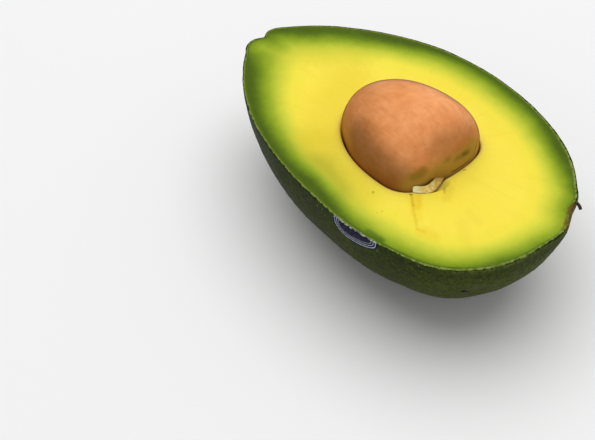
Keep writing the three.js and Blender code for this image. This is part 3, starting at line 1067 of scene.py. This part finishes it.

# %% [markdown]
# ## Finish of the flesh
# Under the skin the flesh is dark green, then lime, then butter yellow. The green reaches deeper at
# the neck than at the blossom end, is thin beside the pit of the stem, and has deeper places along
# the rim; one of these, on the near side, is painted shade. A gradient across the object would ignore
# the outline, so a ramp reads *rind*, which was stored on the mesh. Faint bruises and fibres are soft
# lines at their places, and so is the brown scar at the blossom end. Three broad ochre and olive marks
# beside the near and left side of the stone are painted shade. The flesh is moist, so light goes a
# little way in.

# %% Flesh material
GREEN_DEPTH = 14  # mm from the skin to the last colour of the ramp
BROAD_CAST = 5  # a mark softer than this, in mm, stays out of the green
MARKS = [  # start x and y, end x and y, width, softness, wander, strength, colour
    (-46, -3, -31, 12.5, 1.5, 9, 2.5, 0.45, (206, 202, 58)),
    # painted shade: a broad ochre mark on the near side of the stone's tip
    (-6, -20, 14, -24.5, 3, 9, 0.5, 0.45, (208, 192, 48)),
    # painted shade: a broad ochre mark along the left of the stone's tip
    (-9, -17, -24, 4, 2, 9, 2.5, 0.4, (232, 204, 48)),
    (24.2, -12.2, 30, -16, 0.8, 1.8, 0.4, 0.4, (246, 210, 44)),
    (23.4, -12.5, 26.3, -14.5, 0.15, 0.5, 0.35, 0.55, (206, 170, 24)),
    (26.3, -14.5, 33, -18.8, 0.08, 0.6, 0.5, 0.38, (214, 178, 28)),
    (33, -18.8, 34.8, -18.1, 0.1, 0.6, 0.4, 0.35, (222, 180, 30)),
    (34.8, -18.1, 37.5, -17, 0.6, 2.2, 0.6, 0.3, (238, 196, 40)),
    (24.8, -11.2, 27.6, -14, 0.25, 1.1, 0.35, 0.36, (236, 196, 36)),
    (37.9, -8.8, 45, -13.8, 0.2, 2.6, 0.8, 0.16, (208, 194, 48)),
    (36.5, -5.1, 40.3, -5.8, 0.1, 2.2, 0.8, 0.14, (208, 194, 56)),
    (27, -3.4, 29.6, -6.4, 0.2, 1.8, 0.6, 0.26, (212, 190, 44)),
    (24.3, -2.9, 27.4, -5.4, 0.1, 0.6, 0.5, 0.5, (168, 142, 32)),
    (22.9, -12.6, 23.2, -12.3, 0.12, 0.5, 0.1, 0.85, (122, 88, 18)),
    # painted shade: a broad olive mark darkening the flesh on the near side
    (0, -25, 9, -26.5, 2, 6.5, 0.5, 0.4, (150, 146, 30)),
    (26.5, -28.6, 30.5, -27.8, 0.4, 1.3, 0.5, 0.65, (70, 104, 8)),
    (-39.4, 17.6, -34.3, 18.3, 0.4, 1.4, 0.6, 0.4, (84, 118, 16)),
    (50.6, 14.9, 54.6, 8.2, 0.15, 0.9, 1.4, 0.8, (118, 84, 28)),
    (51.2, 15.4, 55, 8, 0.1, 0.4, 1.1, 0.85, (60, 36, 12)),
    (50, 13.2, 50.2, 12.9, 0.1, 0.7, 0.2, 0.35, (120, 130, 24)),
    (16.5, -19.2, 16.8, -19.4, 0.18, 0.35, 0.15, 0.8, (150, 118, 24)),
    (23, -21.6, 23.3, -21.7, 0.1, 0.25, 0.15, 0.6, (160, 132, 30)),
    (22.6, -22.9, 22.8, -23, 0.08, 0.25, 0.15, 0.45, (160, 132, 30)),
    (24.3, 3.7, 24.5, 4.2, 0.12, 0.3, 0.15, 0.6, (160, 120, 40)),
]

coat = Finish(flesh)
depth = coat.mark("rind")
stone_away = coat.mark("stone_distance")
broad_spots = coat.mottled(9, 0.0)
small_spots = coat.mottled(2.2, 0.0, 0.3)
wavering = depth + 0.9 * (broad_spots - 0.5) + 0.35 * (small_spots - 0.5)
coat.colour = colour_steps(wavering / GREEN_DEPTH, {
    0.0: (74, 96, 4),
    0.06: (85, 110, 6),
    0.13: (108, 134, 14),
    0.20: (132, 156, 24),
    0.29: (157, 177, 38),
    0.41: (193, 202, 54),
    0.56: (222, 220, 66),
    0.70: (244, 231, 72),
    1.0: (253, 234, 80),
})
coat.wash(coat.mottled(16, 0.0, 0.11) * 0.4 * fade(depth, 6, 12), (252, 222, 62))
spread = vector_math("SUBTRACT", coat.place, drawn(11.3, -0.4))
spread_x, spread_y, _ = split(vector_math("NORMALIZE", spread))
fibres = noise(join(spread_x, spread_y, vector_math("LENGTH", spread) * 4), 0.05, 3.0)
coat.wash(fade(fibres, 0.5, 0.75) * fade(depth, 5, 9) * 0.12, (226, 200, 40))
coat.wash((1 - fade(stone_away, 0.5, 1.9)) * (0.15 + 0.35 * small_spots), (250, 224, 138))
coat.wash((1 - fade(stone_away, -0.1, 0.22)) * 0.7, (160, 110, 52))  # film along the lip
coat.wash(coat.mark("pocket") * 0.4, (206, 184, 84))
for ax, ay, bx, by, width, softness, wander, strength, tint in MARKS:
    mask = coat.line((ax, ay), (bx, by), width, softness, wander, 0.4)
    if softness > BROAD_CAST:
        mask = mask * fade(depth, 3, 8)
    coat.wash(mask * strength, tint)
frayed = (1 - fade(depth, 0.3, 1.4)) * fade(split(coat.place)[0], 34 * MM, 50 * MM)
coat.wash(frayed * coat.mottled(0.9, 0.6, 0.5) * 0.5, (134, 152, 72))
coat.bump(1.4, 0.12, 0.8, 0.3 * fibres)
coat.close(0.36 + 0.18 * small_spots, Specular_IOR_Level=0.1, Subsurface_Weight=0.15,
           Subsurface_Radius=(1.0, 0.75, 0.2), Subsurface_Scale=1.2 * MM)

# %% [markdown]
# ## Finish of the skin
# Outside, the skin is a very dark green with lighter, yellower clouds and a waxy sheen. Broad washes
# come first, then speckles and flecks over them, so that these stay crisp. Of the broad washes, the
# lighter ones towards the blossom end and low down are painted sheen, and the darker one towards
# the stem is painted shade. Where the knife cut it, only a hair's breadth is dark, a little more on
# the far side: the rest of its thickness is a pale, half clear grey-green, frayed at the blossom end.
# *peel_depth*, stored by the tree, says how far in a point of the cut lies. Corky brown marks lie at
# the blossom end and in the pit of the stem, and the nick low on the side is black.

# %% Skin material
SKIN_MARKS = [  # start and end, in mm of the drawing frame, width, softness, wander, strength, colour
    ((50.6, 16.2, 0), (55.6, 8.8, 0), 0.6, 0.8, 1, 0.7, (96, 66, 20)),
    ((51, 16, 0), (54.8, 10.2, -0.2), 0.2, 0.4, 1.3, 0.85, (52, 32, 10)),
    ((52, 14.4, 0), (55, 9.6, 0), 0.1, 0.4, 1.3, 0.5, (160, 118, 44)),
    ((-55.6, -3, 0), (-54.9, -5.2, 0), 0.7, 1, 0.6, 0.6, (78, 66, 24)),
    ((48.8, -17.9, -8.9), (48.8, -15.5, -10.4), 0.32, 0.25, 0.2, 0.95, (10, 12, 0)),
]

coat = Finish(skin)
px, py, pz = split(coat.place)
peel = coat.mark("peel_depth") / MM
clouds = coat.mottled(8, 0.2)
speckle = coat.mottled(1.6, 0.5, 0.2)
flecks = coat.mottled(0.9, 0.7, 0.6)
blossom_side = fade(px, 30 * MM, 52 * MM)
far_side = larger(fade(py, -8 * MM, 2 * MM), 1 - fade(px, -50 * MM, -40 * MM))
near_cut = fade(pz + 3 * MM * clouds, CUT_HEIGHT - 5 * MM, CUT_HEIGHT + 1 * MM)
frayed = fade(pz, CUT_HEIGHT - 2.2 * MM, CUT_HEIGHT) * fade(px, 42 * MM, 52 * MM) * fade(flecks, 0.2, 1.0)
coat.colour = blend(clouds * 0.9, (18, 30, 2), (58, 68, 12))
coat.wash(fade(coat.streaks(0.16, 1.6, 2.0), 0.5, 0.72) * 0.4, (24, 32, 4))
# painted sheen: the skin lighter towards the blossom end
coat.wash(blossom_side * 0.4, (92, 100, 40))
# painted sheen: the skin lighter low down, towards the floor
coat.wash((1 - fade(pz, 18 * MM, CUT_HEIGHT)) * 0.35, (74, 80, 34))
coat.wash(near_cut * 0.55, (22, 46, 4))
# painted shade: the skin darker towards the stem end
coat.wash((1 - fade(px, -15 * MM, 30 * MM)) * 0.55, (14, 22, 2))
coat.wash(speckle * 0.42, (84, 94, 36))
coat.wash(flecks * 0.45, (14, 20, 2))
coat.wash(frayed * 0.6, (108, 122, 60))
wobble = peel - 0.2 * far_side + 0.22 * (speckle - 0.5) + 0.16 * (flecks - 0.5)
cut = colour_steps(wobble / 1.4, {
    0.0: (22, 32, 2),
    0.10: (38, 50, 5),
    0.21: (92, 110, 36),
    0.40: (97, 115, 35),
    0.62: (84, 108, 12),
    1.0: (76, 102, 4),
})
lip_end = 0.5 + 0.35 * blossom_side
on_lip = fade(wobble, 0.1, 0.3) * (1 - fade(wobble, lip_end, lip_end + 0.3))
coat.wash(fade(peel, 0.02, 0.12), blend(on_lip * flecks * 0.5, cut, (156, 170, 96)))
for start, end, width, softness, wander, strength, tint in SKIN_MARKS:
    coat.wash(coat.line(start, end, width, softness, wander, 0.3) * strength, tint)
coat.bump(0.8, 0.3)
coat.close(0.46 + 0.16 * speckle + 0.1 * clouds, Specular_IOR_Level=0.05)

# %% [markdown]
# ## Finish of the stone
# The stone is smooth and satin, ginger brown on top, with an olive cast on its base and a few dark
# smudges there. Painted shade makes it darker towards its tip and near side, low down, along its near
# flank, high on its base end and at edges that turn away from the view. A dark line and a light one
# follow the groove where the base meets the flesh. Fine veins run the long way.

# %% Stone material
STAINS_AND_SHADE = [  # start and end, in mm of the drawing frame, width, softness, strength, colour
    # painted shade: a broad dark brown wash along the stone's near low flank
    ((4, -14.5, 6), (19, -15, 3), 2, 6.5, 0.6, (108, 66, 16)),
    ((-5, -11.5, 5), (0.5, -14.5, 3.5), 0.6, 2.4, 0.45, (180, 126, 50)),
    # painted shade: the base end darker high on its right side
    ((23, -2, 9.5), (22.8, 7, 7), 1.5, 5, 0.45, (150, 92, 42)),
    ((22.6, -10, 2), (23, 8, 2.2), 1.8, 4.4, 0.85, (170, 138, 58)),
    ((22.2, -10.8, 4.6), (22.9, -8.6, 5.4), 0.3, 2, 0.5, (122, 88, 20)),
    ((23.4, -1.6, 5.7), (23.4, -0.8, 5.7), 0.1, 1.3, 0.4, (118, 92, 30)),
    ((23.3, 2.2, 4.2), (22.8, 6.4, 3.8), 0.2, 1.5, 0.45, (114, 88, 30)),
    ((23.2, 4.4, 4.1), (23, 5.6, 3.9), 0.2, 1, 0.5, (88, 68, 20)),
    ((21.3, 11.3, 2.6), (22.4, 9.6, 0), 0.3, 0.5, 0.6, (206, 148, 78)),
    ((22.4, 9.6, 0), (23.2, 5, -0.5), 0.3, 0.4, 0.6, (206, 160, 82)),
    ((21.4, 10.6, 4.5), (22.4, 8.9, 1.1), 0.07, 0.24, 0.85, (88, 50, 14)),
    ((22.4, 8.9, 1.1), (22.9, 6.6, 0.35), 0.06, 0.24, 0.85, (84, 50, 14)),
    ((22.9, 6.6, 0.35), (23.5, 0.2, 0.6), 0.07, 0.24, 0.85, (88, 58, 16)),
]

coat = Finish(stone)
px, py, pz = split(coat.place)
stone_clouds = coat.mottled(8, 0.0, 0.4)
stone_fine = coat.mottled(2, 0.1)
veins = coat.streaks(0.14, 1.5, 3.0)
coat.colour = blend(stone_clouds, (232, 148, 86), (255, 178, 118))
coat.wash(stone_fine * 0.3, (208, 122, 56))
coat.wash(fade(veins, 0.5, 0.75) * 0.22, (170, 98, 44))
# painted shade: darker low down
coat.wash((1 - fade(pz + 2 * MM * stone_clouds, 33 * MM, 45 * MM)) * 0.7, (150, 86, 20))  # low down
# painted shade: darker towards the tip and the near side
coat.wash((1 - fade(px + py * 0.5, -12 * MM, 6 * MM)) * 0.5, (160, 90, 22))  # towards its tip
for start, end, width, softness, strength, tint in STAINS_AND_SHADE:
    coat.wash(coat.line(start, end, width, softness, min(0.5, softness / 2)) * strength, tint)
# painted shade: a dark brown edge where the surface turns away from the view
facing = add_node("ShaderNodeLayerWeight", "Facing", Blend=0.5)
coat.wash(fade(facing, 0.70, 0.97) * 0.8, (88, 46, 16))
coat.bump(1.8, 0.10, 0.7, veins)
coat.close(0.44 + 0.12 * stone_fine, Specular_IOR_Level=0.1, Subsurface_Weight=0.05,
           Subsurface_Scale=1 * MM)

# %% [markdown]
# ## Finishes of the small pieces
# The seed coat is pale, thin and half clear, with a brown rim, and its free tip is paler still: partly
# its own cream, partly a painted highlight. The stub is dry and almost black.
# The label is dark blue with plain pale rings and raw white paper along the cut. The lenticels are
# a little lighter than the skin round them.

# %% Small pieces' materials
LABEL_RINGS = [(0.42, 0.66, 0.9), (1.15, 1.35, 0.8), (1.85, 2.0, 0.65)]  # start, end in mm, strength
RING_EDGE = 0.05

coat = Finish(scrap)
free_tip = coat.mark("towards_tip")
spots = coat.mottled(1.1, 0.5)
coat.colour = blend(spots * 0.75, (250, 226, 136), (198, 158, 62))
coat.wash((1 - fade(free_tip, 0.15, 0.4)) * 0.6, (190, 150, 60))
# the free tip near white: partly its own cream, partly a painted highlight
coat.wash(fade(free_tip, 0.6, 0.85), (255, 242, 192))
coat.wash(fade(coat.mark("outer_edge"), 0.80, 0.97) * 0.9, (124, 86, 20))
coat.bump(0.8, 0.3)
coat.close(0.25 + 0.2 * spots, Specular_IOR_Level=0.2, Subsurface_Weight=0.3, Subsurface_Scale=0.8 * MM)

coat = Finish(stub)
spots = coat.mottled(0.6, 0.3)
coat.colour = blend(spots, (30, 18, 14), (66, 40, 26))
coat.bump(0.3, 0.1)
coat.close(0.7 + 0.2 * spots)

coat = Finish(label)
from_rim = coat.mark("from_rim")
wear = coat.mottled(0.7, 0.6)
coat.colour = blend(wear * 0.4, (5, 8, 36), (14, 18, 58))
for start, end, strength in LABEL_RINGS:
    ring = fade(from_rim, start - RING_EDGE, start) * (1 - fade(from_rim, end, end + RING_EDGE))
    coat.wash(ring * strength * (1 - 0.5 * wear), (196, 204, 218))
raw = 1 - fade(coat.mark("below_cut") + 0.25 * wear, 0.02, 0.22)
coat.wash(raw, blend(wear * 0.6, (170, 180, 150), (96, 112, 80)))
coat.bump(0.25, 0.04)
coat.close(0.45 + 0.25 * wear, Specular_IOR_Level=0.1)

coat = Finish(dots)
spots = coat.mottled(3, 0.4)
coat.colour = blend(spots, (52, 62, 24), (104, 112, 62))
coat.close(0.55 + 0.15 * spots)

# %% [markdown]
# ## Floor and light
# The fruit lies on a plain pale floor under soft light: a bright sky all round, and one large lamp
# high behind its far side, which leaves the near side of the skin dark.

# %% Floor and light
FLOOR = 3.0  # metres from its middle to its edges
FLOOR_COLOUR = (0.93, 0.93, 0.93, 1)
FLOOR_ROUGHNESS = 0.8
SKY_STRENGTH = 0.46
LAMP_PLACE = Vector((-0.10, 0.10, 1.0))
LAMP_AIM = Vector((0, 0, 0.03))
LAMP_SIZE = 1.4
LAMP_WATTS = 7.9

floor_mesh = bpy.data.meshes.new("floor")
floor_corners = [(-FLOOR, -FLOOR, 0), (FLOOR, -FLOOR, 0), (FLOOR, FLOOR, 0), (-FLOOR, FLOOR, 0)]
floor_mesh.from_pydata(floor_corners, [], [(0, 1, 2, 3)])
floor_mesh.materials.append(bpy.data.materials.new("pale_floor"))
floor = put_in("floor", floor_mesh)
floor_coat = Finish(floor)
floor_coat.colour = FLOOR_COLOUR
floor_coat.close(FLOOR_ROUGHNESS)

world = bpy.data.worlds.new("studio")
world.use_nodes = True
world.node_tree.nodes["Background"].inputs[0].default_value = (1.0, 1.0, 1.0, 1)
world.node_tree.nodes["Background"].inputs[1].default_value = SKY_STRENGTH
bpy.context.scene.world = world

lamp_data = bpy.data.lights.new("key", "AREA")
lamp_data.shape = "DISK"
lamp_data.size = LAMP_SIZE
lamp_data.energy = LAMP_WATTS
lamp = put_in("key", lamp_data)
towards = (LAMP_AIM - LAMP_PLACE).normalized().to_track_quat("-Z", "Y").to_matrix().to_4x4()
lamp.matrix_world = Matrix.Translation(LAMP_PLACE) @ towards
bpy.context.scene.view_settings.view_transform = "Standard"

# %% [markdown]
# ## Pieces in place
# Each piece takes the place of the plain solid it was made for and rides on the one body.

# %% Rides and replacements
PIECES = [
    (skin, "skin", "skin"),
    (flesh, "flesh", "flesh"),
    (stone, "stone", "stone"),
    (scrap, "seed_coat_scrap", "seed_coat"),
    (stub, "style_stub", "dried_stub"),
    (label, "label", "label"),
    (dots, None, "skin"),
]
for piece, node, material_slot in PIECES:
    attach(piece, "root")
    if node:
        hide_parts(node)

bpy.context.view_layer.update()
